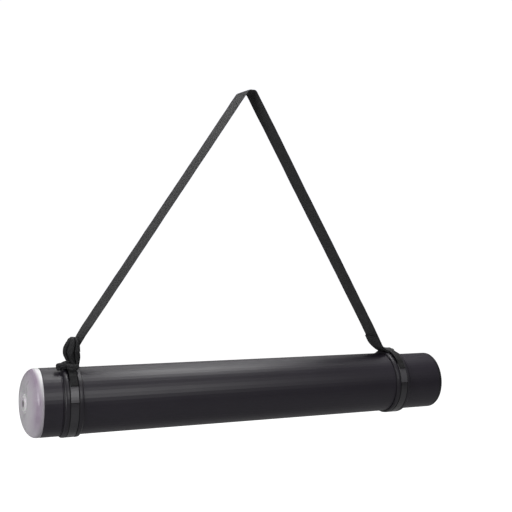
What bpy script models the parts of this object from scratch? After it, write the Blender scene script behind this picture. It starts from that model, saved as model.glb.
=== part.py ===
"""A telescopic drawing tube hanging from its carrying strap.

The origin is where a hook bears under the strap's peak. +X runs along the tube towards the
telescopic end, +Z is up, and -Y is the near side. Lengths are in millimetres until they meet MM.
"""

import math

import bpy
from mathutils import Vector

MM = 0.001
SEGMENTS = 60
SMOOTH_ANGLE = math.radians(35)
GAP = 0.3  # left between pieces that touch

# Tube, measured along its axis from the rim of the capped mouth
TUBE_RADIUS = 45.7
TUBE_WALL = 1.0
TUBE_END = 570.0
BELL_RADIUS = 46.6
BELL_LENGTH = 24.0
OVERALL_END = 630.0
INNER_RADIUS = 43.6
INNER_WALL = 1.3
INNER_START = 34.0
INNER_DROP = 0.8  # the loose extension lies low in the tube

# Caps
CAP_WALL = 1.6
CAP_FLANGE = 1.2
CAP_RISE = 15.0
CAP_CREST_RADIUS = 20.0
CAP_DISH = 2.6
CAP_LEAN = 0.085  # the cap sits crooked: its dome stands further out on the far side
BOSS_RADIUS = 11.0
BOSS_RISE = 2.8
BOSS_PIT_RADIUS = 4.0
BOSS_PIT_DEPTH = 2.2
PLUG_LENGTH = 22.0
REAR_FLANGE = 6.0
REAR_ROUND = 4.5
REAR_RECESS_RADIUS = 24.0
REAR_RECESS_DEPTH = 1.6
GUIDE_FLANGE = 4.0
GUIDE_PLUG = 10.0

# Collars, bands, tabs and bridges
FRONT_COLLAR_AT = 39.2
REAR_COLLAR_AT = 553.4
COLLAR_FLOOR = 47.1
COLLAR_RIDGE = 48.9
COLLAR_EDGE = 47.6
CHANNEL_HALF = 6.2
COLLAR_HALF = 12.6
BAND_HALF = 5.4
BAND_THICKNESS = 1.4
BAND_TOP_ANGLE = 85.5
TAB_THICKNESS = 2.4
TAB_START = 48.5
TAB_STOP = 84.5
BRIDGE_HALF = 5.2
BRIDGE_THICKNESS = 1.2
BRIDGE_RADIUS = 51.45
BRIDGE_END_ANGLE = 47.5
BRIDGE_FOOT_RADIUS = 48.3
BRIDGE_RAMP_ANGLE = 41.0

# Strap: heights are above the tube's axis
PEAK_STATION = 305.0
PEAK_HEIGHT = 445.0
PEAK_HALF = 5.0
PEAK_FOLD = 5.0
STRAP_WIDTH = 38.0
STRAP_THICKNESS = 1.3
LEG_RIGHT = (210.8, 89.8)
LEG_LEFT = (-245.5, 93.6)
LEFT_LEAN = 0.12  # how far the left leg's far edge runs ahead of its near edge, per width
LAYER_STEP = 3.2
KNOT_TOP = 87.0
KNOT_BOTTOM = 53.9
KNOT_SIZE = (24.0, 25.0)
KNOT_AT = -260.5
LOOP_WIDTH = 24.0
TAIL_SIZE = (12.0, 15.0, 8.0)
TAIL_AT = (-280.3, -11.0, 53.2)
FOLD_LENGTH = 29.0

COLLECTION = bpy.data.collections.new("drawing_tube")


def clear_scene():
    for obj in list(bpy.data.objects):
        bpy.data.objects.remove(obj, do_unlink=True)
    bpy.context.scene.collection.children.link(COLLECTION)


def plastic(name, color, roughness):
    material = bpy.data.materials.new(name)
    material.use_nodes = True
    shader = material.node_tree.nodes["Principled BSDF"]
    shader.inputs["Base Color"].default_value = (*color, 1.0)
    shader.inputs["Roughness"].default_value = roughness
    shader.inputs["Metallic"].default_value = 0.0
    return material


def place(name, mesh, color, roughness):
    """Link a mesh at the rim of the tube's mouth, with the tube's axis along the object's X."""
    obj = bpy.data.objects.new(name, mesh)
    mesh.materials.append(plastic(name, color, roughness))
    obj.location = Vector((-PEAK_STATION, 0.0, -PEAK_HEIGHT)) * MM
    COLLECTION.objects.link(obj)
    return obj


def settle(obj):
    """Keep the shape the modifiers make, shaded smooth but for its sharp edges."""
    shape = obj.evaluated_get(bpy.context.evaluated_depsgraph_get())
    mesh = bpy.data.meshes.new_from_object(shape)
    obj.modifiers.clear()
    obj.data = mesh
    mesh.shade_smooth()
    mesh.set_sharp_from_angle(angle=SMOOTH_ANGLE)
    return obj


def turned(name, chain, color, roughness, ring=True, drop=0.0):
    """Turn a chain of (radius, station) points about the tube's axis, or one that lies lower."""
    mesh = bpy.data.meshes.new(name)
    points = [(radius * MM, 0.0, station * MM) for radius, station in chain]
    edges = [(i, i + 1) for i in range(len(points) - 1)]
    if ring:
        edges.append((len(points) - 1, 0))
    mesh.from_pydata(points, edges, [])
    obj = place(name, mesh, color, roughness)
    obj.rotation_euler = (0.0, math.pi / 2, 0.0)
    obj.location.z -= drop * MM
    screw = obj.modifiers.new("Turn", "SCREW")
    screw.steps = screw.render_steps = SEGMENTS
    screw.use_merge_vertices = True
    screw.merge_threshold = 1e-5
    return settle(obj)


def sheet(name, rows, thickness, color, roughness, rounding=0.0):
    """Thicken the surface through rows of (station, across, height) points."""
    across = len(rows[0])
    points = [Vector(point) * MM for row in rows for point in row]
    faces = []
    for i in range(len(rows) - 1):
        for j in range(across - 1):
            corner = i * across + j
            faces.append((corner, corner + 1, corner + across + 1, corner + across))
    mesh = bpy.data.meshes.new(name)
    mesh.from_pydata(points, [], faces)
    obj = place(name, mesh, color, roughness)
    shell = obj.modifiers.new("Thickness", "SOLIDIFY")
    shell.thickness = thickness * MM
    shell.offset = 0.0
    shell.use_even_offset = True
    if rounding:
        bevel = obj.modifiers.new("Rounding", "BEVEL")
        bevel.width = rounding * MM
        bevel.segments = 1
        bevel.limit_method = "ANGLE"
        bevel.angle_limit = math.radians(50)
    return settle(obj)


def on_tube(station, radius, angle):
    """A point at an angle in degrees from the top, positive towards the near side."""
    turn = math.radians(angle)
    return (station, -radius * math.sin(turn), radius * math.cos(turn))


def steps(start, stop, count):
    return [start + (stop - start) * i / count for i in range(count + 1)]


def arc(centre, radii, start, stop, count):
    """Points of an elliptical arc from one angle to another, in degrees."""
    turns = [math.radians(angle) for angle in steps(start, stop, count)]
    return [(centre[0] + radii[0] * math.cos(t), centre[1] + radii[1] * math.sin(t)) for t in turns]


def outer_tube():
    bore = TUBE_RADIUS - TUBE_WALL
    bell_bore = BELL_RADIUS - TUBE_WALL
    chain = [
        (TUBE_RADIUS, TUBE_END),
        (TUBE_RADIUS, BELL_LENGTH + 1.0),
        (BELL_RADIUS, BELL_LENGTH),
        (BELL_RADIUS, 0.4),
        (BELL_RADIUS - 0.3, 0.0),
        (bell_bore, 0.0),
        (bell_bore, BELL_LENGTH),
        (bore, BELL_LENGTH + 1.0),
        (bore, TUBE_END),
    ]
    turned("outer_tube", chain, (0.019, 0.017, 0.022), 0.38)


def inner_tube():
    bore = INNER_RADIUS - INNER_WALL
    end = OVERALL_END - REAR_FLANGE - GAP
    chain = [(INNER_RADIUS, end), (INNER_RADIUS, INNER_START), (bore, INNER_START), (bore, end)]
    turned("inner_tube", chain, (0.019, 0.017, 0.022), 0.38, drop=INNER_DROP)


def guide_ring():
    plug = INNER_RADIUS - INNER_WALL - GAP
    mouth = plug - 2.0
    face = INNER_START - GAP
    chain = [
        (plug, INNER_START + GUIDE_PLUG),
        (plug, face),
        (INNER_RADIUS, face),
        (INNER_RADIUS, face - GUIDE_FLANGE),
        (mouth, face - GUIDE_FLANGE),
        (mouth, INNER_START + GUIDE_PLUG),
    ]
    turned("guide_ring", chain, (0.6, 0.6, 0.58), 0.5, drop=INNER_DROP)


def lean_cap(cap):
    """Seat the cap crooked: push its dome out, more and more towards the far side."""
    for vertex in cap.data.vertices:
        out = -vertex.co.z / MM - GAP
        if out > 0:
            share = min(out / CAP_FLANGE, 1.0)
            vertex.co.z -= CAP_LEAN * (vertex.co.y + BELL_RADIUS * MM) * share


def front_cap():
    plug = BELL_RADIUS - TUBE_WALL - 0.35
    base = -GAP - CAP_FLANGE
    crest = base - CAP_RISE
    outer = arc((CAP_CREST_RADIUS, base), (BELL_RADIUS - CAP_CREST_RADIUS, CAP_RISE), 0, -90, 10)
    lining_radii = (plug - CAP_WALL - CAP_CREST_RADIUS, CAP_RISE - CAP_WALL)
    lining = arc((CAP_CREST_RADIUS, base), lining_radii, -90, 0, 6)
    dish = crest + CAP_DISH
    boss = dish - BOSS_RISE
    slope = (CAP_CREST_RADIUS * 0.72, crest + CAP_DISH * 0.5)
    outside = [(plug, PLUG_LENGTH), (plug, -GAP), (BELL_RADIUS - 0.4, -GAP), (BELL_RADIUS, -GAP - 0.4)]
    outside += outer
    outside += [
        slope,
        (BOSS_RADIUS + 1.4, dish),
        (BOSS_RADIUS, dish - 0.5),
        (BOSS_RADIUS - 0.4, boss + 0.9),
        (BOSS_RADIUS - 1.4, boss),
        (BOSS_PIT_RADIUS + 0.5, boss),
        (BOSS_PIT_RADIUS, boss + BOSS_PIT_DEPTH),
        (0.0, boss + BOSS_PIT_DEPTH),
    ]
    inside = [(0.0, dish + CAP_WALL), (BOSS_RADIUS, dish + CAP_WALL), (slope[0], slope[1] + CAP_WALL)]
    inside += lining
    inside += [(plug - CAP_WALL, PLUG_LENGTH)]
    lean_cap(turned("front_cap", inside + outside, (0.62, 0.58, 0.64), 0.35, ring=False))


def rear_cap():
    plug = INNER_RADIUS - INNER_WALL - GAP
    face = OVERALL_END - REAR_FLANGE
    corner = arc((INNER_RADIUS - REAR_ROUND, OVERALL_END - REAR_ROUND), (REAR_ROUND, REAR_ROUND), 90, 0, 4)
    outside = [(0.0, OVERALL_END - REAR_RECESS_DEPTH)]
    outside += [(REAR_RECESS_RADIUS - 1.0, OVERALL_END - REAR_RECESS_DEPTH), (REAR_RECESS_RADIUS, OVERALL_END)]
    outside += corner
    outside += [(INNER_RADIUS, face), (plug, face), (plug, face - PLUG_LENGTH)]
    inside = [(plug - 1.8, face - PLUG_LENGTH), (plug - 1.8, face), (0.0, face)]
    chain = outside + inside
    turned("rear_cap", chain, (0.017, 0.016, 0.019), 0.42, ring=False, drop=INNER_DROP)


def collar(name, centre):
    """Two rounded ridges with a channel between them for the band."""
    middle = (CHANNEL_HALF + COLLAR_HALF) / 2
    half = [
        (COLLAR_FLOOR, CHANNEL_HALF),
        (COLLAR_RIDGE - 0.3, CHANNEL_HALF + 0.2),
        (COLLAR_RIDGE, CHANNEL_HALF + 0.8),
        (COLLAR_RIDGE, middle),
        (COLLAR_RIDGE - 0.3, COLLAR_HALF - 1.4),
        (COLLAR_EDGE, COLLAR_HALF - 0.2),
        (COLLAR_EDGE - 0.4, COLLAR_HALF),
        (TUBE_RADIUS + GAP, COLLAR_HALF),
    ]
    upper = [(radius, centre + out) for radius, out in reversed(half)]
    lower = [(radius, centre - out) for radius, out in half]
    turned(name, upper + lower, (0.019, 0.017, 0.022), 0.3)


def band(name, centre):
    middle = COLLAR_FLOOR + GAP + BAND_THICKNESS / 2
    rows = []
    for angle in steps(BAND_TOP_ANGLE, 360 - BAND_TOP_ANGLE, 32):
        rows.append([on_tube(centre + side * BAND_HALF, middle, angle) for side in (-1, 1)])
    sheet(name, rows, BAND_THICKNESS, (0.02, 0.019, 0.022), 0.25)


def tab(name, centre, side):
    """A raised tab over the band's end; side is 1 on the near side and -1 on the far side."""
    middle = COLLAR_FLOOR + GAP + TAB_THICKNESS / 2
    rows = []
    for angle in steps(TAB_START, TAB_STOP, 8):
        rows.append([on_tube(centre - side * s * BAND_HALF, middle, side * angle) for s in (-1, 1)])
    sheet(name, rows, TAB_THICKNESS, (0.025, 0.024, 0.027), 0.2, rounding=0.4)


def bridge_radius(angle):
    """The bridge stands clear over the top and comes down to the channel at its two feet."""
    span = BRIDGE_END_ANGLE - BRIDGE_RAMP_ANGLE
    along = min(max((abs(angle) - BRIDGE_RAMP_ANGLE) / span, 0.0), 1.0)
    ease = along * along * (3 - 2 * along)
    return BRIDGE_RADIUS + (BRIDGE_FOOT_RADIUS - BRIDGE_RADIUS) * ease


def bridge(name, centre):
    rows = []
    for angle in steps(-BRIDGE_END_ANGLE, BRIDGE_END_ANGLE, 38):
        radius = bridge_radius(angle)
        rows.append([on_tube(centre + side * BRIDGE_HALF, radius, angle) for side in (-1, 1)])
    sheet(name, rows, BRIDGE_THICKNESS, (0.012, 0.012, 0.013), 0.8)


def rounded_path(corners, turn_points=6):
    """A path of straight runs through (x, height, radius) corners, each rounded to its radius."""
    path = [Vector(corners[0][:2])]
    for before, here, after in zip(corners, corners[1:], corners[2:]):
        corner, radius = Vector(here[:2]), here[2]
        into = (Vector(before[:2]) - corner).normalized()
        out = (Vector(after[:2]) - corner).normalized()
        half = into.angle(out) / 2
        reach = radius / math.tan(half)
        centre = corner + (into + out).normalized() * (radius / math.sin(half))
        start = (corner + into * reach - centre).normalized()
        stop = (corner + out * reach - centre).normalized()
        for i in range(turn_points + 1):
            path.append(centre + start.slerp(stop, i / turn_points) * radius)
    path.append(Vector(corners[-1][:2]))
    return [here for before, here in zip([None] + path, path) if not before or (here - before).length > 0.05]


def strap_rows(path, width, flat_above, across=8, lean=0.0):
    """Lay a strap across the tube along a path; low down it follows the tube's curve."""
    rows = []
    for x, height in path:
        lift = min(max((height - BRIDGE_RADIUS - 4) / flat_above, 0.0), 1.0)
        skew = lean * min(max((PEAK_HALF - x) / (2 * PEAK_HALF), 0.0), 1.0)
        row = []
        for out in steps(-width / 2, width / 2, across):
            turn = out / height
            curved = Vector((height * math.sin(turn), height * math.cos(turn)))
            side, up = curved.lerp(Vector((out, height)), lift)
            row.append((x + PEAK_STATION - skew * side, side, up))
        rows.append(row)
    return rows


def layer_heights():
    return BRIDGE_RADIUS - LAYER_STEP / 2, BRIDGE_RADIUS + LAYER_STEP / 2


def leg_at(leg, height, beside=0.0):
    """Where a leg of the strap, or a line beside it, crosses a height."""
    rise = PEAK_HEIGHT + STRAP_THICKNESS / 2 - leg[1]
    slope = (leg[0] - math.copysign(PEAK_HALF, leg[0])) / rise
    return leg[0] + (leg[1] - height) * slope - beside * math.hypot(1, slope)


def strap():
    """From over the knot, up to the peak, down to the rear bridge, round it and back up."""
    under, over = layer_heights()
    peak = PEAK_HEIGHT + STRAP_THICKNESS / 2
    edge = REAR_COLLAR_AT - PEAK_STATION + BRIDGE_HALF + STRAP_THICKNESS / 2 + 0.6
    beside = STRAP_THICKNESS + 2 * GAP
    fold_height = under + FOLD_LENGTH * 0.866
    corners = [
        (leg_at(LEG_LEFT, KNOT_TOP + 1.6), KNOT_TOP + 1.6, 0),
        (-PEAK_HALF, peak, PEAK_FOLD),
        (PEAK_HALF, peak, PEAK_FOLD),
        (leg_at(LEG_RIGHT, over), over, 16.0),
        (edge, over, LAYER_STEP / 2 - 0.001),
        (edge, under, LAYER_STEP / 2 - 0.001),
        (leg_at(LEG_RIGHT, under, beside), under, 20.0),
        (leg_at(LEG_RIGHT, fold_height, beside), fold_height, 0),
    ]
    rows = strap_rows(rounded_path(corners), STRAP_WIDTH, 40.0, lean=LEFT_LEAN)
    sheet("strap", rows, STRAP_THICKNESS, (0.035, 0.035, 0.037), 0.85)


def strap_loop():
    under, over = layer_heights()
    centre = FRONT_COLLAR_AT - PEAK_STATION
    reach = BRIDGE_HALF + STRAP_THICKNESS / 2 + 1.6
    corners = [
        (centre + reach, over, 0),
        (centre + reach, under, 1.2),
        (centre - reach, under, 1.2),
        (centre - reach, over, 0),
    ]
    rows = strap_rows(rounded_path(corners, 4), LOOP_WIDTH, 40.0, 6)
    sheet("strap_loop", rows, STRAP_THICKNESS, (0.035, 0.035, 0.037), 0.85)


def soft_block(name, centre, size):
    """A pillow-like form from a subdivided cube, centred over the tube's axis."""
    bpy.ops.mesh.primitive_cube_add(size=1.0)
    cube = bpy.context.active_object
    mesh = cube.data
    bpy.data.objects.remove(cube)
    mesh.name = name
    for vertex in mesh.vertices:
        vertex.co = Vector([a * b * MM for a, b in zip(vertex.co, size)])
    obj = place(name, mesh, (0.035, 0.035, 0.037), 0.85)
    x, across, height = centre
    obj.location += Vector((x + PEAK_STATION, across, height)) * MM
    round_off = obj.modifiers.new("Edges", "BEVEL")
    round_off.width = min(size) * 0.22 * MM
    round_off.segments = 1
    smooth = obj.modifiers.new("Soft", "SUBSURF")
    smooth.levels = smooth.render_levels = 1
    return settle(obj)


def strap_knot():
    height = KNOT_TOP - KNOT_BOTTOM
    centre = (KNOT_AT, 0.0, KNOT_BOTTOM + height / 2)
    soft_block("strap_knot", centre, (*KNOT_SIZE, height))


def strap_tail():
    soft_block("strap_tail", TAIL_AT, TAIL_SIZE)


def main():
    clear_scene()
    outer_tube()
    inner_tube()
    guide_ring()
    front_cap()
    rear_cap()
    for end, centre in (("front", FRONT_COLLAR_AT), ("rear", REAR_COLLAR_AT)):
        collar(f"{end}_collar", centre)
        band(f"{end}_band", centre)
        tab(f"{end}_tab_near", centre, 1)
        tab(f"{end}_tab_far", centre, -1)
        bridge(f"{end}_bridge", centre)
    strap()
    strap_loop()
    strap_knot()
    strap_tail()


main()
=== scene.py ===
"""Looks of the telescopic drawing tube: its webbing, plastics, studio and camera.

The frame's origin is just under the strap's peak. The strap and the bridges are laid out in
millimetres, and spot() turns a place into metres. A station is measured along the tube from the rim
of its capped mouth, a height is above the tube's axis, and an angle runs from the top of the tube
towards the near side. Materials, lights and the camera are in metres.
"""

import math

import bpy
from mathutils import Matrix, Vector, noise

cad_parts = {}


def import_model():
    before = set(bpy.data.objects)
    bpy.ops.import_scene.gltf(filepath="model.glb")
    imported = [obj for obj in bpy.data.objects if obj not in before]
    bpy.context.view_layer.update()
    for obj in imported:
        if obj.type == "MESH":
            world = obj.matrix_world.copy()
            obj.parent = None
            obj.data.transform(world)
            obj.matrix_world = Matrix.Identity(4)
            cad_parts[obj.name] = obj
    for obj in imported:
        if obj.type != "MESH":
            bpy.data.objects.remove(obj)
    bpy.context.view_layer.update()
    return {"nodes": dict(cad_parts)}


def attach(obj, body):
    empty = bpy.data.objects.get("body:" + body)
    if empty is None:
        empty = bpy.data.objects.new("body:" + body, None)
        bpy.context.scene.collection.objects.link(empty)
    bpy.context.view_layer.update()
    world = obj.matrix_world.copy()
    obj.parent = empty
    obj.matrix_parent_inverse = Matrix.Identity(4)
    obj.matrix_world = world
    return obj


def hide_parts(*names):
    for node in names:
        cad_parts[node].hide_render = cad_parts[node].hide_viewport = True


MM = 0.001

# Where the main pieces are
PEAK_STATION = 305.0
PEAK_HEIGHT = 445.0
FRONT_COLLAR_AT = 39.2
REAR_COLLAR_AT = 553.4
BELL_RADIUS = 46.6
CAP_LEAN = 0.085  # the front cap's dome stands further out on its far side

# Strap: its path is in (distance from the peak's station, height)
STRAP_WIDTH = 38.0
STRAP_THICKNESS = 1.3
STRAP_EDGE = 0.052  # half its thickness at the very edge
PEAK_HALF = 5.0  # half the distance between the peak's two corners
PEAK_FOLD = 5.0  # radius of each corner
LEFT_CREASE = 2.8  # how much further out the left corner of the peak is creased
LEG_RIGHT = (210.8, 89.8)  # a place on the right leg's straight run
LEG_LEFT = (-245.5, 93.6)
LEFT_LEAN = 0.12  # the left leg's far edge lies nearer the mouth, by this much per unit across
GAP = 0.3  # between layers that touch
PATH_STEP = 1.6
STRAP_ACROSS = 20  # spans from edge to edge
SLOW_SWAY = 0.25  # sideways, in a sine wave along the strap
UNEVEN_SWAY = 0.35
SWAY_LENGTH = 31.0  # of the strap to each radian of that wave
DRIFT = 0.22  # how uneven the webbing's face is

# Where the strap's left leg goes into the knot
KNOT_ENTRY = (-256.5, 76.0)
KNOT_TOP = 90.0  # where the leg bends
KNOT_GATHER = 0.30  # share of the strap's width that is left in the knot
KNOT_SPREAD = 28.6  # height over which the strap opens out again
KNOT_PLEAT = 3.4

# Where its right leg turns round the rear bridge and is folded back up beside itself
LAYER_STEP = 3.2  # from the middle of the layer under a bridge to the layer over it
FOLD_RISE = 25.114  # how far the folded end reaches above the lower layer
REAR_BEND = 31.0  # radius of the leg's bend
REAR_GATHER = 0.68
REAR_SPREAD = 15.0
REAR_PLEAT = 1.6
ROUND_UP_TO = 4.0  # above the bridges; below that the strap is as round as the tube
FLAT_WITHIN = 40.0  # it is flat after this much more height
PLEATS = 9.0  # radians of pleating over half the width

# Stitches through that fold
STITCH_ROWS = (15.0, 21.0)  # above the lower layer
STITCH_REACH = 16.0
STITCH_PITCH = 2.7
STITCH_LENGTH = 1.9
STITCH_RADIUS = 0.32
STITCH_STANDS = 0.12  # proud of the webbing
STITCH_SIDES = 6
STITCH_SPANS = 4

# Turn under the front bridge
LOOP_CLEARANCE = 1.4
LOOP_WIDTH = 18.0
LOOP_GATHER = 5.0  # how much narrower it is where it goes up into the knot
LOOP_WEAVE_HALF = 12.0  # half the width of its weave, which is squeezed into the turn
LOOP_ACROSS = 16

# Bridges
BRIDGE_RADIUS = 51.45
BRIDGE_HALF = 5.2
BRIDGE_THICKNESS = 1.344
BRIDGE_EDGE = 0.072  # half their thickness at the very edge
BRIDGE_ACROSS = 12
BRIDGE_SPANS = 112
BRIDGE_RAMP_ANGLE = 41.0
BRIDGE_TAB_ANGLE = 47.5  # from here on a bridge's end laps over its tab
BRIDGE_END_ANGLE = 59.0
BRIDGE_LAP_RADIUS = 50.55

# Gathered webbing: how deep its valleys are, how crumpled it is, and the weave's width round it
VALLEY_DEPTH = 0.38
CRUMPLE = (0.13, 0.07)
WEAVE_ROUND = 3.6  # times half its length

# Knot: (height, station of its middle, half its length, half its depth)
KNOT_PROFILE = (
    (47.5, 46.6, 7.6, 11.5),
    (52.0, 46.8, 7.8, 11.0),
    (56.5, 46.4, 9.2, 10.5),
    (62.0, 45.0, 11.2, 11.5),
    (67.5, 43.6, 12.7, 12.5),
    (74.0, 44.8, 11.2, 12.0),
    (80.0, 46.0, 9.0, 10.5),
    (84.5, 46.6, 7.0, 8.5),
    (87.2, 46.8, 4.4, 5.5),
)

# Knot's foot and the strap's free end: (station, across, height) and (half height, half depth)
FOOT_ROUTE = ((34.0, -22.0, 50.4), (38.0, -26.0, 48.8), (43.0, -27.0, 48.3), (48.0, -23.0, 50.2))
FOOT_SIZES = ((3.4, 3.0), (4.3, 3.2), (4.2, 3.2), (3.3, 3.0))
END_ROUTE = (
    (39.0, -15.0, 50.6),
    (34.0, -17.5, 50.0),
    (28.0, -19.5, 50.2),
    (23.5, -20.0, 50.0),
    (19.6, -20.5, 49.6),
)
END_SIZES = ((3.2, 3.2), (3.7, 3.7), (4.4, 4.3), (4.9, 4.7), (4.9, 4.7))
BLUNT_END = (0.62, 0.86, 0.96)  # shares of its size that a roll has at its end and next to it

WEAVE_MARGIN = 50.0  # keeps the weave's coordinates above zero

# Plastic: noise stretched along the tube, for draw lines and for scuffs
DRAWN = (4.0, 260.0, 260.0)
SCUFFED = (25.0, 190.0, 190.0)

# Front cap's painted light and shade, in metres: distances out from the rim, heights and distances from
# the axis
SKIRT_TO_DOME = (0.0020, 0.0062)
DOME_TO_LIT_FACE = (0.009, 0.0178)
PAINTED_LIGHT_BELOW = (-0.018, -0.044)
PAINTED_HIGHLIGHT_ABOVE = (0.012, 0.038)
# a painted highlight ring on the boss's wall, and painted shade in its pit
BOSS_HIGHLIGHT_INSIDE = (0.0078, 0.0092)
BOSS_HIGHLIGHT_OUTSIDE = (0.0135, 0.0125)
BOSS_PIT_SHADE = (0.0052, 0.0036)
TURNED_RINGS = 2600.0  # radians per metre

# Lights: name, place and aim from the rim, size and watts
LIGHTS = (
    ("key", (0.54, -1.75, 0.98), (0.22, 0.0, 0.0), (0.75, 0.7), 12.0),
    ("fill", (-1.68, -0.9, 1.5), (0.22, 0.0, 0.0), (1.6, 1.2), 8.0),
    ("back", (0.62, 1.8, 1.6), (0.22, 0.0, 0.0), (2.0, 1.0), 10.0),
    ("top", (0.60, 0.15, 1.3), (0.58, 0.0, 0.0), (0.7, 0.6), 15.0),
    ("mouth", (-0.8, -0.45, 0.2), (0.0, 0.0, 0.0), (0.4, 0.4), 3.2),
)
FLOOR_SIZE = 24.0
FLOOR_DROP = 0.82
WORLD_LIGHT = (0.10, 1.06)  # what the world gives the scene, and what the camera sees of it

# Camera, from the rim of the tube's mouth
CAMERA_OFFSET = (-0.2006, -1.1675, 0.1966)
CAMERA_FORWARD = (0.4071, 0.9134, 0.0029)
CAMERA_UP = (-0.0070, 0.0, 1.0)
CAMERA_LENS = 59.8


def rim():
    return Vector((-PEAK_STATION, 0.0, -PEAK_HEIGHT)) * MM


def spot(station, across, height):
    """A point in the frame, in metres."""
    return rim() + Vector((station, across, height)) * MM


def steps(start, stop, count):
    return [start + (stop - start) * i / count for i in range(count + 1)]


def limited(value):
    return min(max(value, 0.0), 1.0)


def ease(value):
    value = limited(value)
    return value * value * (3 - 2 * value)


def shade(color, factor):
    return [channel * factor for channel in color]


# ---------------------------------------------------------------- materials


def node(tree, kind, inputs=None, **settings):
    made = tree.nodes.new("ShaderNode" + kind)
    for key, value in settings.items():
        setattr(made, key, value)
    for key, value in (inputs or {}).items():
        if isinstance(value, bpy.types.NodeSocket):
            tree.links.new(value, made.inputs[key])
        else:
            made.inputs[key].default_value = value
    return made


def calc(tree, operation, first, second=0.0, third=0.0):
    return node(tree, "Math", {0: first, 1: second, 2: third}, operation=operation).outputs[0]


def spread(tree, value, low, high, to_low=0.0, to_high=1.0):
    inputs = {"Value": value, "From Min": low, "From Max": high, "To Min": to_low, "To Max": to_high}
    return node(tree, "MapRange", inputs).outputs[0]


def mixed(tree, factor, first, second):
    """Mix two colours."""
    made = node(tree, "Mix", data_type="RGBA")
    for key, value in (("Factor_Float", factor), ("A_Color", first), ("B_Color", second)):
        socket = next(s for s in made.inputs if s.identifier == key)
        if isinstance(value, bpy.types.NodeSocket):
            tree.links.new(value, socket)
        else:
            socket.default_value = value if key == "Factor_Float" else (*value, 1.0)
    return next(s for s in made.outputs if s.identifier == "Result_Color")


def place(tree):
    """Where a point is in the frame, which every piece's own coordinates share."""
    return node(tree, "TexCoord").outputs["Object"]


def stretched(tree, scale):
    return node(tree, "Mapping", {"Vector": place(tree), "Scale": scale}).outputs[0]


def speckle(tree, vector, scale, detail, roughness):
    inputs = {"Vector": vector, "Scale": scale, "Detail": detail, "Roughness": roughness}
    return node(tree, "TexNoise", inputs).outputs["Fac"]


def start_material(name):
    material = bpy.data.materials.new(name)
    material.use_nodes = True
    tree = material.node_tree
    return material, tree, tree.nodes["Principled BSDF"]


def finish_material(tree, shader, color, roughness, height, distance, strength):
    bump = node(tree, "Bump", {"Height": height, "Strength": strength, "Distance": distance})
    for key, value in (("Base Color", color), ("Roughness", roughness), ("Normal", bump.outputs[0])):
        tree.links.new(value, shader.inputs[key])


def plastic(name, color, worn, roughness, specular=0.5, streak=0.05, coat=0.0):
    """Moulded or extruded plastic: faint draw lines along the tube, fine grain and light rubbing."""
    material, tree, shader = start_material(name)
    lines = speckle(tree, stretched(tree, DRAWN), scale=1.0, detail=3.0, roughness=0.6)
    grain = speckle(tree, place(tree), scale=1800.0, detail=3.0, roughness=0.6)
    clouds = speckle(tree, place(tree), scale=22.0, detail=4.0, roughness=0.6)
    scuffs = speckle(tree, stretched(tree, SCUFFED), scale=1.0, detail=6.0, roughness=0.75)
    rubbed = spread(tree, scuffs, 0.66, 0.80)
    tint = mixed(tree, spread(tree, clouds, 0.3, 0.75), color, shade(color, 1.16))
    tint = mixed(tree, calc(tree, "MULTIPLY", rubbed, 0.35), tint, worn)
    matte = calc(tree, "MULTIPLY_ADD", lines, streak, roughness - streak / 2)
    matte = calc(tree, "MULTIPLY_ADD", clouds, 0.06, matte)
    matte = calc(tree, "MULTIPLY_ADD", rubbed, 0.08, matte)
    height = calc(tree, "MULTIPLY_ADD", grain, 0.25, lines)
    finish_material(tree, shader, tint, matte, height, distance=0.00004, strength=0.35)
    shader.inputs["Specular IOR Level"].default_value = specular
    shader.inputs["Coat Weight"].default_value = coat
    shader.inputs["Coat Roughness"].default_value = 0.12
    return material


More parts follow.
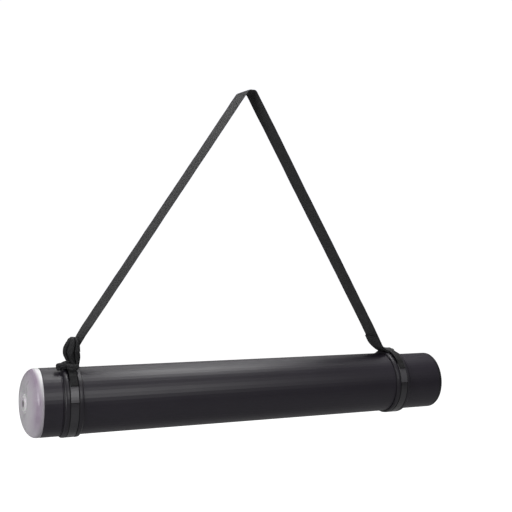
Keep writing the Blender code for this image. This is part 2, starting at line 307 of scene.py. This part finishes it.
def cap_plastic():
    """Milky moulded plastic with turned rings and flow clouds, and painted light and shade: paler painted
    light below and on its face, a painted highlight along the top of its skirt, a painted highlight ring
    on the boss's wall and painted shade in the boss's pit.
    """
    material, tree, shader = start_material("cap_plastic")
    axes = node(tree, "SeparateXYZ", {0: place(tree)})
    lean = calc(tree, "MULTIPLY_ADD", axes.outputs[1], CAP_LEAN, CAP_LEAN * BELL_RADIUS * MM)
    outward = calc(tree, "SUBTRACT", -PEAK_STATION * MM, axes.outputs[0])
    outward = calc(tree, "SUBTRACT", outward, lean)
    above = calc(tree, "ADD", axes.outputs[2], PEAK_HEIGHT * MM)
    across_squared = calc(tree, "POWER", axes.outputs[1], 2.0)
    radial = calc(tree, "SQRT", calc(tree, "MULTIPLY_ADD", above, above, across_squared))
    clouds = speckle(tree, place(tree), scale=45.0, detail=4.0, roughness=0.55)
    grain = speckle(tree, place(tree), scale=1500.0, detail=2.0, roughness=0.5)
    body = mixed(tree, spread(tree, clouds, 0.3, 0.7), (0.36, 0.285, 0.375), (0.45, 0.39, 0.47))
    # painted light: the cap's lower part turns paler
    body = mixed(tree, spread(tree, above, *PAINTED_LIGHT_BELOW), body, (0.74, 0.70, 0.76))
    # painted light: the face, beyond the dome, is paler
    face = mixed(tree, spread(tree, outward, *DOME_TO_LIT_FACE), body, (0.80, 0.77, 0.81))
    # painted highlight along the top of the skirt, with painted shade below it
    skirt_painted_light = mixed(tree, spread(tree, above, *PAINTED_HIGHLIGHT_ABOVE), (0.47, 0.44, 0.48), (0.84, 0.83, 0.85))
    tint = mixed(tree, spread(tree, outward, *SKIRT_TO_DOME), skirt_painted_light, face)
    # painted highlight: a near-white ring on the boss's wall
    boss_highlight_start = spread(tree, radial, *BOSS_HIGHLIGHT_INSIDE)
    boss_highlight = calc(tree, "MULTIPLY", boss_highlight_start, spread(tree, radial, *BOSS_HIGHLIGHT_OUTSIDE))
    tint = mixed(tree, boss_highlight, tint, (0.98, 0.97, 0.98))
    # painted shade: near black in the boss's pit
    tint = mixed(tree, spread(tree, radial, *BOSS_PIT_SHADE), tint, (0.07, 0.06, 0.075))
    rings = calc(tree, "SINE", calc(tree, "MULTIPLY", outward, TURNED_RINGS))
    height = calc(tree, "MULTIPLY_ADD", rings, 0.15, grain)
    matte = spread(tree, clouds, 0.3, 0.7, to_low=0.27, to_high=0.36)
    finish_material(tree, shader, tint, matte, height, distance=0.00003, strength=0.3)
    shader.inputs["Subsurface Weight"].default_value = 0.35
    shader.inputs["Subsurface Radius"].default_value = (1.0, 0.8, 1.0)
    shader.inputs["Subsurface Scale"].default_value = 0.006
    shader.inputs["Coat Weight"].default_value = 0.2
    shader.inputs["Coat Roughness"].default_value = 0.15
    return material


def webbing(name, color, column=1.9, row=1.25, relief=0.00032):
    """Woven tape: staggered yarns in columns across it and rows along it, over fuzz and fading, with
    painted shade in the creases of gathered webbing.
    """
    material, tree, shader = start_material(name)
    coords = node(tree, "UVMap", uv_map="weave").outputs[0]
    axes = node(tree, "SeparateXYZ", {0: coords})
    across = calc(tree, "DIVIDE", axes.outputs[0], column * MM)
    along = calc(tree, "DIVIDE", axes.outputs[1], row * MM)
    stagger = calc(tree, "MULTIPLY", calc(tree, "MODULO", calc(tree, "FLOOR", along), 2.0), 0.5)
    half_turns = calc(tree, "MULTIPLY", calc(tree, "ADD", across, stagger), math.pi)
    yarn = calc(tree, "ABSOLUTE", calc(tree, "SINE", half_turns))
    rib = calc(tree, "ABSOLUTE", calc(tree, "SINE", calc(tree, "MULTIPLY", along, math.pi)))
    weave = calc(tree, "POWER", calc(tree, "MULTIPLY", yarn, rib), 0.6)
    fuzz = speckle(tree, place(tree), scale=1400.0, detail=3.0, roughness=0.7)
    fade = speckle(tree, place(tree), scale=55.0, detail=4.0, roughness=0.65)
    lint = speckle(tree, place(tree), scale=620.0, detail=2.0, roughness=0.6)
    lint = spread(tree, lint, 0.64, 0.74)
    tint = mixed(tree, spread(tree, fade, 0.3, 0.72), shade(color, 0.72), shade(color, 1.22))
    tint = mixed(tree, spread(tree, weave, 0.15, 0.8), shade(color, 0.3), tint)
    tint = mixed(tree, calc(tree, "MULTIPLY", lint, 0.4), tint, shade(color, 2.2))
    # painted shade: the colour darkens to near black where a point lies deep in a crease
    crease_shade = node(tree, "Attribute", attribute_name="crease_shade").outputs["Fac"]
    tint = mixed(tree, crease_shade, tint, shade(color, 0.12))
    matte = spread(tree, weave, 0.0, 1.0, to_low=0.92, to_high=0.66)
    height = calc(tree, "MULTIPLY_ADD", fuzz, 0.35, weave)
    finish_material(tree, shader, tint, matte, height, distance=relief, strength=0.8)
    shader.inputs["Specular IOR Level"].default_value = 0.35
    shader.inputs["Sheen Weight"].default_value = 0.05
    shader.inputs["Sheen Roughness"].default_value = 0.5
    return material


# ---------------------------------------------------------------- mesh work


def new_object(name, points, faces, uvs, crease_shades, material, body):
    """A piece with its weave's coordinates, and how much painted crease shade each point takes, from 0 to
    1.
    """
    mesh = bpy.data.meshes.new(name)
    mesh.from_pydata(points, [], faces)
    # how much painted crease shade each point takes, read by the webbing material
    depth = mesh.attributes.new("crease_shade", "FLOAT", "POINT")
    depth.data.foreach_set("value", crease_shades)
    layer = mesh.uv_layers.new(name="weave")
    for corner in mesh.loops:
        layer.data[corner.index].uv = uvs[corner.vertex_index]
    mesh.materials.append(material)
    mesh.shade_smooth()
    obj = bpy.data.objects.new(name, mesh)
    bpy.context.scene.collection.objects.link(obj)
    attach(obj, body)
    return obj


def walls(first, rings, count):
    """Faces between neighbouring rings of points, which are numbered from first."""
    faces = []
    for i in range(rings - 1):
        for j in range(count):
            a = first + i * count + j
            b = first + i * count + (j + 1) % count
            faces.append((a, b, b + count, a + count))
    return faces


def joined_rings(name, rings, uvs, crease_shades, material, body):
    """A closed body through rings of equally many points, with a fan over each end."""
    count = len(rings[0])
    points = [p for ring in rings for p in ring]
    flat_uvs = [uv for row in uvs for uv in row]
    flat_crease_shades = [c for row in crease_shades for c in row]
    faces = walls(0, len(rings), count)
    for end, order in ((0, -1), (len(rings) - 1, 1)):
        hub = len(points)
        points.append(sum(rings[end], Vector()) / count)
        flat_uvs.append(flat_uvs[end * count])
        flat_crease_shades.append(flat_crease_shades[end * count])
        for j in range(count):
            a = end * count + j
            b = end * count + (j + 1) % count
            faces.append((hub, a, b)[::order])
    return new_object(name, points, faces, flat_uvs, flat_crease_shades, material, body)


def shares_across(count):
    """Shares of a strip's half width from edge to edge, closer together near the edges."""
    return [-math.cos(math.pi * k / count) for k in range(count + 1)]


def half_thickness(share, thickness, edge):
    """Half the thickness of a strip with soft edges."""
    return (thickness / 2 - edge) * math.sqrt(max(1 - abs(share) ** 9, 0.0)) + edge


def strip(name, sections, thickness, edge, material, body):
    """A woven strip through sections.

    A section holds its middle points from edge to edge, how far each lies from the strip's middle
    line when it is flat, the strip's normal there and the length travelled.
    """
    rings, uvs = [], []
    for middles, outs, normal, travelled in sections:
        shares = shares_across(len(middles) - 1)
        lifts = [normal * half_thickness(share, thickness, edge) for share in shares]
        top = [spot(*(middle + lift)) for middle, lift in zip(middles, lifts)]
        under = [spot(*(middle - lift)) for middle, lift in zip(middles, lifts)]
        row = [((out + WEAVE_MARGIN) * MM, travelled * MM) for out in outs]
        rings.append(top + under[::-1])
        uvs.append(row + row[::-1])
    crease_shades = [[0.0] * len(rings[0])] * len(rings)
    return joined_rings(name, rings, uvs, crease_shades, material, body)


def around(items, i):
    """The items before and after one, or the item itself at an end."""
    return items[max(i - 1, 0)], items[min(i + 1, len(items) - 1)]


def rounded_path(corners, turn_step=1.2):
    """A path of straight runs through (distance, height, radius) corners, each rounded."""
    path = [Vector(corners[0][:2])]
    for before, here, after in zip(corners, corners[1:], corners[2:]):
        corner, radius = Vector(here[:2]), here[2]
        into = (Vector(before[:2]) - corner).normalized()
        out = (Vector(after[:2]) - corner).normalized()
        half = into.angle(out) / 2
        reach = radius / math.tan(half)
        centre = corner + (into + out).normalized() * (radius / math.sin(half))
        start = (corner + into * reach - centre).normalized()
        stop = (corner + out * reach - centre).normalized()
        count = max(4, round(start.angle(stop) * radius / turn_step))
        for i in range(count + 1):
            path.append(centre + start.slerp(stop, i / count) * radius)
    path.append(Vector(corners[-1][:2]))
    return path


def resampled(path, step, shortest=0.05):
    """Points at about even distances along a path, without spans under the shortest."""
    points = [path[0]]
    for start, stop in zip(path, path[1:]):
        length = (stop - start).length
        if length < shortest:
            continue
        pieces = max(1, round(length / step))
        points += [start.lerp(stop, i / pieces) for i in range(1, pieces + 1)]
    return points


def smooth_path(points, per_span):
    """A Catmull-Rom path through vectors."""
    ends = [points[0] * 2 - points[1], *points, points[-1] * 2 - points[-2]]
    path = []
    for a, b, c, d in zip(ends, ends[1:], ends[2:], ends[3:]):
        for i in range(per_span):
            t = i / per_span
            bend = (2 * a - 5 * b + 4 * c - d) * t**2 + (3 * b - a - 3 * c + d) * t**3
            path.append(0.5 * (2 * b + (c - a) * t + bend))
    return path + [points[-1]]


# ---------------------------------------------------------------- strap


def layer_heights():
    """Heights of the strap's layers under and over a bridge."""
    return BRIDGE_RADIUS - LAYER_STEP / 2, BRIDGE_RADIUS + LAYER_STEP / 2


def leg_at(leg, height, beside=0.0):
    """Where a leg of the strap, or a line beside it, crosses a height."""
    rise = PEAK_HEIGHT + STRAP_THICKNESS / 2 - leg[1]
    slope = (leg[0] - math.copysign(PEAK_HALF, leg[0])) / rise
    return leg[0] + (leg[1] - height) * slope - beside * math.hypot(1, slope)


def fold_distance():
    """How far the folded end lies beside the right leg, from middle to middle."""
    return STRAP_THICKNESS + 2 * GAP


def strap_path():
    under, over = layer_heights()
    peak = PEAK_HEIGHT + STRAP_THICKNESS / 2
    past_bridge = REAR_COLLAR_AT - PEAK_STATION + BRIDGE_HALF + STRAP_THICKNESS / 2 + 2 * GAP
    just_under_half_step = LAYER_STEP / 2 - 0.001
    fold_height = under + FOLD_RISE
    beside = fold_distance()
    corners = [
        (*KNOT_ENTRY, 0),
        (leg_at(LEG_LEFT, KNOT_TOP), KNOT_TOP, 14.0),
        (-PEAK_HALF - LEFT_CREASE, peak, PEAK_FOLD),
        (PEAK_HALF, peak, PEAK_FOLD),
        (leg_at(LEG_RIGHT, over), over, REAR_BEND),
        (past_bridge, over, just_under_half_step),
        (past_bridge, under, just_under_half_step),
        (leg_at(LEG_RIGHT, under, beside), under, REAR_BEND + LAYER_STEP),
        (leg_at(LEG_RIGHT, fold_height, beside), fold_height, 0),
    ]
    return resampled(rounded_path(corners), PATH_STEP)


def gathered(x, height):
    """(share of the full width, height of the pleats) at a point of the strap's path."""
    if x > 0:
        width = REAR_GATHER + (1 - REAR_GATHER) * ease((height - BRIDGE_RADIUS - 1) / REAR_SPREAD)
        return width, (1 - width) * REAR_PLEAT
    width = KNOT_GATHER + (1 - KNOT_GATHER) * ease((height - KNOT_ENTRY[1]) / KNOT_SPREAD)
    return width, (1 - width) * KNOT_PLEAT


def strap_section(x, height, normal, travelled):
    """The strap's middle points from edge to edge: round over the tube, flat further up."""
    flatness = limited((height - BRIDGE_RADIUS - ROUND_UP_TO) / FLAT_WITHIN)
    skew = LEFT_LEAN * limited((PEAK_HALF - x) / (2 * PEAK_HALF))
    width, tuck = gathered(x, height)
    sway = SLOW_SWAY * math.sin(travelled / SWAY_LENGTH)
    sway += UNEVEN_SWAY * noise.noise(Vector((travelled * 0.02, 3.1, 0.0)))
    middles, outs = [], []
    for share in shares_across(STRAP_ACROSS):
        out = STRAP_WIDTH / 2 * share
        turn = out / height
        curved = Vector((height * math.sin(turn), height * math.cos(turn)))
        side, up = curved.lerp(Vector((out, height)), flatness)
        drift = DRIFT * noise.noise(Vector((travelled * 0.05, share * 1.3, 7.0)))
        pleat = tuck * math.sin(share * PLEATS)
        middle = Vector((PEAK_STATION + x - skew * side, side * width + sway * flatness, up))
        middles.append(middle + normal * (pleat + drift))
        outs.append(out)
    return middles, outs, normal, travelled


def main_strap(material):
    """One length of webbing from the knot, over the peak, round the rear bridge and back up."""
    path = strap_path()
    sections, travelled = [], 0.0
    for i, point in enumerate(path):
        before, after = around(path, i)
        travelled += (point - before).length
        tangent = (after - before).normalized()
        sections.append(strap_section(*point, Vector((-tangent.y, 0.0, tangent.x)), travelled))
    strap = strip("strap_webbing", sections, STRAP_THICKNESS, STRAP_EDGE, material, "strap")
    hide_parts("strap")
    return strap, travelled * MM


def folded(turn, rise, folds, seed):
    """(size, painted crease shade) of gathered cloth at an angle round a bundle and a share of its
    height.
    """
    phase = turn * folds / 2 + 0.8 * math.sin(turn * 2 + seed)
    phase += 1.7 * rise + 0.5 * math.sin(rise * 6 + seed)
    valley = (1 - abs(math.sin(phase))) ** 3
    where = Vector((math.cos(turn) * 1.6 + seed, math.sin(turn) * 1.6, rise * 3.2))
    crumple = noise.noise(where) * CRUMPLE[0] + noise.noise(where * 2.7) * CRUMPLE[1]
    size = 1 - VALLEY_DEPTH * valley + crumple
    return size, limited(valley * 1.2 - crumple * 3.0)


def bundle(name, line, sizes, folds, seed, lean, material, count):
    """Gathered webbing along a line of places, with (half length, half depth) sizes."""
    rings, uvs, crease_shades, travelled = [], [], [], 0.0
    for i, (middle, size) in enumerate(zip(line, sizes)):
        before, after = around(line, i)
        travelled += (middle - before).length
        ahead = (after - before).normalized()
        depth = ahead.cross(lean).normalized()
        length = depth.cross(ahead)
        rise = i / (len(line) - 1)
        ring, row, crease_shade_row = [], [], []
        for j in range(count):
            turn = 2 * math.pi * j / count
            grown, crease_shade = folded(turn, rise, folds, seed)
            flat = length * (size.x * grown * math.cos(turn))
            flat += depth * (size.y * grown * math.sin(turn))
            ring.append(spot(*(middle + flat)))
            row.append((j * size.x * WEAVE_ROUND / count * MM, travelled * MM))
            crease_shade_row.append(crease_shade)
        rings.append(ring)
        uvs.append(row)
        crease_shades.append(crease_shade_row)
    made = joined_rings(name, rings, uvs, crease_shades, material, "strap")
    return made


def knot(material):
    line = smooth_path([Vector((station, 0.0, height)) for height, station, _, _ in KNOT_PROFILE], 9)
    sizes = smooth_path([Vector((*sizes, 0.0)) for _, _, *sizes in KNOT_PROFILE], 9)
    made = bundle("strap_gathers", line, sizes, 9, 0.4, Vector((1, 0, 0)), material, 168)
    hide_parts("strap_knot")
    return made


def roll(name, route, sizes, folds, seed, material):
    """A crumpled roll of webbing with blunt, rounded ends."""
    line = smooth_path([Vector(p) for p in route], 10)
    spans = smooth_path([Vector((*size, 0.0)) for size in sizes], 10)
    for i, share in enumerate(BLUNT_END):
        spans[i] = spans[i] * share
        spans[-1 - i] = spans[-1 - i] * share
    return bundle(name, line, spans, folds, seed, Vector((0, 0, 1)), material, 96)


def foot(material):
    """The knot's foot: a roll of webbing over the near side of the front bridge."""
    return roll("strap_wrap", FOOT_ROUTE, FOOT_SIZES, 7, 5.2, material)


def free_end(material):
    """The short free end of the webbing, rolled on itself, beside the knot."""
    made = roll("strap_end", END_ROUTE, END_SIZES, 6, 2.1, material)
    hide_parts("strap_tail")
    return made


def loop(material):
    """The webbing's turn under the front bridge, with both ends drawn up into the knot."""
    under, over = layer_heights()
    reach = BRIDGE_HALF + STRAP_THICKNESS / 2 + LOOP_CLEARANCE
    corners = [
        (FRONT_COLLAR_AT + 9.0, 64.0, 0),
        (FRONT_COLLAR_AT + reach, over + 2.0, 3.0),
        (FRONT_COLLAR_AT + reach, under, 1.5),
        (FRONT_COLLAR_AT - reach, under, 0.9),
        (FRONT_COLLAR_AT - reach, over - 0.3, 1.2),
        (FRONT_COLLAR_AT + 8.0, 57.0, 0),
    ]
    path = resampled(rounded_path(corners, 0.6), 0.9)
    sections, travelled = [], 0.0
    for i, (station, height) in enumerate(path):
        before, after = around(path, i)
        travelled += (path[i] - before).length
        tangent = (after - before).normalized()
        normal = Vector((-tangent.y, 0.0, tangent.x))
        width = LOOP_WIDTH - LOOP_GATHER * ease((height - over + 2.0) / 8.0)
        shares = shares_across(LOOP_ACROSS)
        turns = [width / 2 * share / height for share in shares]
        middles = [Vector((station, height * math.sin(t), height * math.cos(t))) for t in turns]
        sections.append((middles, [LOOP_WEAVE_HALF * share for share in shares], normal, travelled))
    made = strip("strap_turn", sections, STRAP_THICKNESS, STRAP_EDGE, material, "strap")
    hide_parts("strap_loop")
    return made


def stitch(x, out, height):
    """Points and weave coordinates of one stitch, which lies across the strap."""
    points, uvs = [], []
    for along in steps(-STITCH_LENGTH / 2, STITCH_LENGTH / 2, STITCH_SPANS):
        bulge = STITCH_RADIUS * math.sqrt(max(1 - (2 * along / STITCH_LENGTH) ** 2, 0.04))
        for j in range(STITCH_SIDES):
            turn = math.pi * 2 * j / STITCH_SIDES
            station = PEAK_STATION + x + bulge * math.cos(turn)
            points.append(spot(station, out + along, height + bulge * math.sin(turn)))
            uvs.append((j * 0.0004, along * MM))
    return points, uvs


def stitches(material):
    """Rows of lock stitch that close the fold round the rear bridge."""
    under, _ = layer_heights()
    stand = STRAP_THICKNESS / 2 + STITCH_STANDS
    points, faces, uvs = [], [], []
    for height in (under + row for row in STITCH_ROWS):
        for out in steps(-STITCH_REACH, STITCH_REACH, round(2 * STITCH_REACH / STITCH_PITCH)):
            for offset in (stand, -fold_distance() - stand):
                first = len(points)
                more_points, more_uvs = stitch(leg_at(LEG_RIGHT, height, -offset), out, height)
                points += more_points
                uvs += more_uvs
                last = len(points) - STITCH_SIDES
                faces += walls(first, STITCH_SPANS + 1, STITCH_SIDES)
                faces.append(tuple(range(first + STITCH_SIDES - 1, first - 1, -1)))
                faces.append(tuple(range(last, last + STITCH_SIDES)))
    made = new_object("strap_stitches", points, faces, uvs, [0.0] * len(points), material, "strap")
    return made


# ---------------------------------------------------------------- bridges


def bridge_radius(angle):
    along = (abs(angle) - BRIDGE_RAMP_ANGLE) / (BRIDGE_TAB_ANGLE - BRIDGE_RAMP_ANGLE)
    return BRIDGE_RADIUS + (BRIDGE_LAP_RADIUS - BRIDGE_RADIUS) * ease(along)


def bridge(end, collar_at, material):
    """A woven band over the top of a collar, lapping over a tab at each end."""
    path = []
    for angle in steps(-BRIDGE_END_ANGLE, BRIDGE_END_ANGLE, BRIDGE_SPANS):
        turn, radius = math.radians(angle), bridge_radius(angle)
        path.append(Vector((collar_at, -radius * math.sin(turn), radius * math.cos(turn))))
    outs = [BRIDGE_HALF * share for share in shares_across(BRIDGE_ACROSS)]
    sections, travelled = [], 0.0
    for i, middle in enumerate(path):
        before, after = around(path, i)
        travelled += (middle - before).length
        normal = (after - before).cross(Vector((1, 0, 0))).normalized()
        sections.append(([middle + Vector((out, 0, 0)) for out in outs], outs, normal, travelled))
    name = f"{end}_bridge_webbing"
    made = strip(name, sections, BRIDGE_THICKNESS, BRIDGE_EDGE, material, "tube")
    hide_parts(f"{end}_bridge")


# ---------------------------------------------------------------- studio


def seen_by_camera(tree):
    """1 where the camera looks straight at a surface, 0 for the light that it gives the scene."""
    return node(tree, "LightPath").outputs["Is Camera Ray"]


def light(name, offset, aim, size, power):
    """An area light, with its place and its aim from the rim."""
    data = bpy.data.lights.new(name, "AREA")
    data.shape = "RECTANGLE"
    data.size, data.size_y = size
    data.energy = power
    obj = bpy.data.objects.new(name, data)
    obj.location = rim() + Vector(offset)
    obj.rotation_euler = (Vector(aim) - Vector(offset)).to_track_quat("-Z", "Y").to_euler()
    bpy.context.scene.collection.objects.link(obj)


def surroundings():
    scene = bpy.context.scene
    scene.view_settings.view_transform = "Standard"
    world = bpy.data.worlds.new("studio")
    world.use_nodes = True
    tree = world.node_tree
    background = tree.nodes["Background"]
    background.inputs["Color"].default_value = (0.97, 0.97, 1.0, 1.0)
    strength = spread(tree, seen_by_camera(tree), 0.0, 1.0, *WORLD_LIGHT)
    tree.links.new(strength, background.inputs["Strength"])
    scene.world = world


def pale_floor():
    """A floor that looks white and throws little light back up."""
    bpy.ops.mesh.primitive_plane_add(size=FLOOR_SIZE, location=(0, 0, -FLOOR_DROP))
    floor = bpy.context.active_object
    floor.name = "floor"
    material, tree, shader = start_material("pale_floor")
    shader.inputs["Base Color"].default_value = (0.40, 0.40, 0.405, 1.0)
    shader.inputs["Roughness"].default_value = 0.9
    shader.inputs["Emission Color"].default_value = (1.0, 1.0, 1.0, 1.0)
    tree.links.new(seen_by_camera(tree), shader.inputs["Emission Strength"])
    floor.data.materials.append(material)


def camera():
    data = bpy.data.cameras.new("camera")
    data.lens, data.sensor_width, data.clip_start = CAMERA_LENS, 36.0, 0.01
    obj = bpy.data.objects.new("camera", data)
    back = -Vector(CAMERA_FORWARD).normalized()
    up = Vector(CAMERA_UP)
    up = (up - back * up.dot(back)).normalized()
    right = up.cross(back)
    turn = Matrix((right, up, back)).transposed().to_4x4()
    obj.matrix_world = Matrix.Translation(rim() + Vector(CAMERA_OFFSET)) @ turn
    bpy.context.scene.collection.objects.link(obj)
    bpy.context.scene.camera = obj


# ---------------------------------------------------------------- the whole scene


def dress(nodes):
    """Give each CAD node that stays visible its finish."""
    rubbed = (0.06, 0.057, 0.065)
    shell = plastic("tube_plastic", (0.0165, 0.0135, 0.0205), rubbed, 0.40, specular=0.45)
    collar = plastic("collar_plastic", (0.0150, 0.0130, 0.0180), rubbed, 0.38, specular=0.45)
    gloss = plastic(
        "band_plastic",
        (0.0240, 0.0230, 0.0265),
        (0.08, 0.078, 0.083),
        0.30,
        specular=0.55,
        streak=0.03,
        coat=0.2,
    )
    # a lighter copy of the collar's plastic: painted highlight on the tabs
    tab = plastic(
        "tab_plastic_painted_highlight",
        (0.0600, 0.0580, 0.0640),
        (0.11, 0.108, 0.113),
        0.38,
        specular=0.6,
        streak=0.03,
    )
    black = plastic("rear_cap_plastic", (0.0120, 0.0115, 0.0135), (0.05, 0.05, 0.055), 0.40, specular=0.4)
    white = plastic("guide_plastic", (0.55, 0.55, 0.53), (0.4, 0.4, 0.39), 0.45)
    finishes = {
        "outer_tube": shell,
        "inner_tube": shell,
        "guide_ring": white,
        "front_cap": cap_plastic(),
        "rear_cap": black,
    }
    for end in ("front", "rear"):
        finishes[f"{end}_collar"] = collar
        finishes[f"{end}_band"] = gloss
        finishes[f"{end}_tab_near"] = tab
        finishes[f"{end}_tab_far"] = tab
    for name, material in finishes.items():
        for slot in nodes[name].material_slots:
            slot.material = material


def webbing_pieces():
    tape = webbing("strap_webbing", (0.056, 0.056, 0.058))
    # a darker copy of the strap's webbing: painted shade over the knot, its turn, its foot and its free
    # end
    knot_tape_painted_shade = webbing("knot_webbing_painted_shade", (0.032, 0.032, 0.034))
    # near-black webbing over the bridges: its darkness is partly the tape's own tone and partly painted
    # shade of the gap under them
    bridge_tape_painted_shade = webbing("bridge_webbing", (0.006, 0.006, 0.0065), column=1.2, row=0.9, relief=0.00022)
    thread = webbing("strap_thread", (0.035, 0.035, 0.036), column=0.4, row=0.3, relief=0.0001)
    bridge("front", FRONT_COLLAR_AT, bridge_tape_painted_shade)
    bridge("rear", REAR_COLLAR_AT, bridge_tape_painted_shade)
    strap, length = main_strap(tape)
    pieces = [knot(knot_tape_painted_shade), loop(knot_tape_painted_shade), foot(knot_tape_painted_shade), free_end(knot_tape_painted_shade), stitches(thread)]


def main():
    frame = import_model()
    dress(frame["nodes"])
    webbing_pieces()
    surroundings()
    pale_floor()
    for settings in LIGHTS:
        light(*settings)
    camera()


main()
